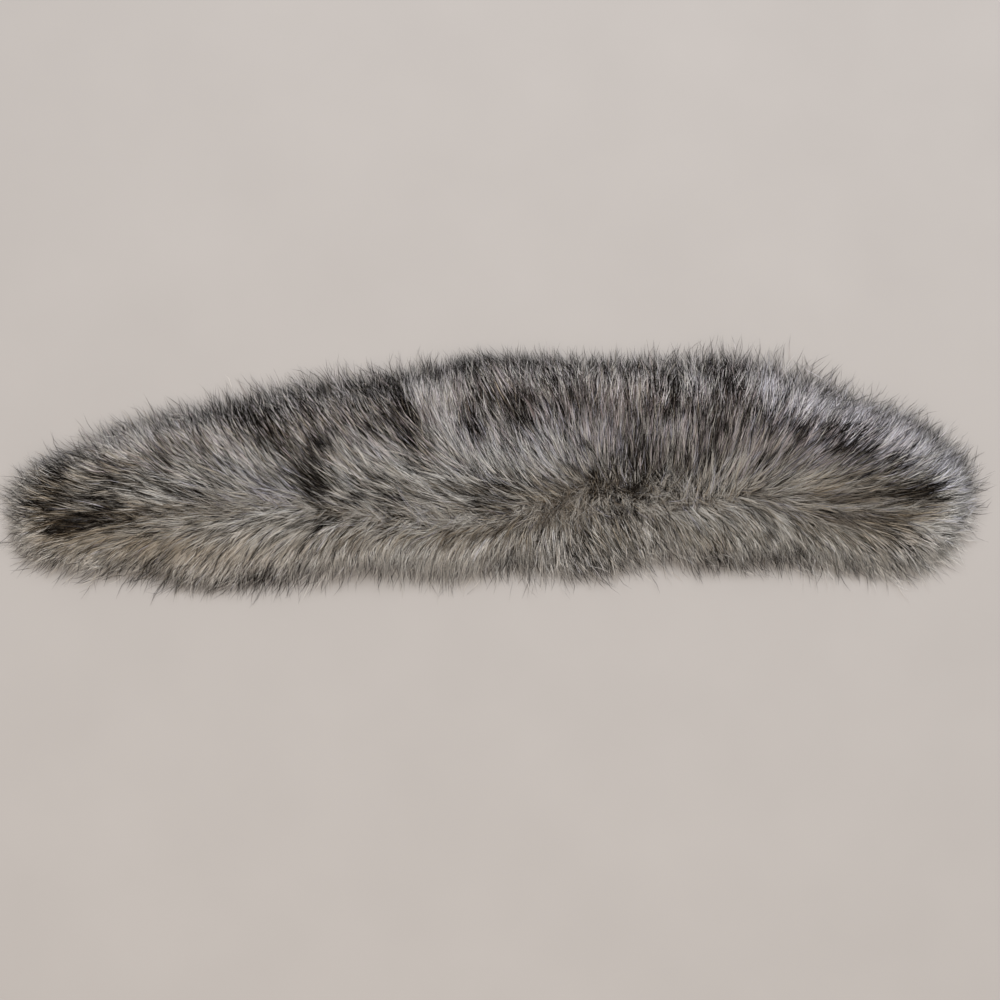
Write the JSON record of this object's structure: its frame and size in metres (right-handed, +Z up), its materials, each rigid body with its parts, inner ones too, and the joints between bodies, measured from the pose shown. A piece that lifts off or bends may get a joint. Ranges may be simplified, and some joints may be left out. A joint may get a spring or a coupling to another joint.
{
  "type": "fur collar wrap",
  "caption": "Crescent-shaped collar wrap of long-pile grey fur fabric, laid flat with the fur up, its locks combed outward from a parting that runs along the middle.",
  "frame": {"origin": "on the flat underside of the ground cloth, near the middle of the wrap, at the level of the surface that it lies on", "axes": "+X along the wrap from its blunter left point to its right point, +Y towards the bulging outer edge, +Z up out of the fur"},
  "size_m": [0.7877, 0.2127, 0.038],
  "materials": {
    "ground_cloth": "matte knitted ground cloth",
    "fur_pile": "long soft fur pile, grey with dark tips and patches"
  },
  "bodies": {
    "root": {"ground_cloth": "ground_cloth", "fur_pile": "fur_pile"}
  },
  "joints": []
}
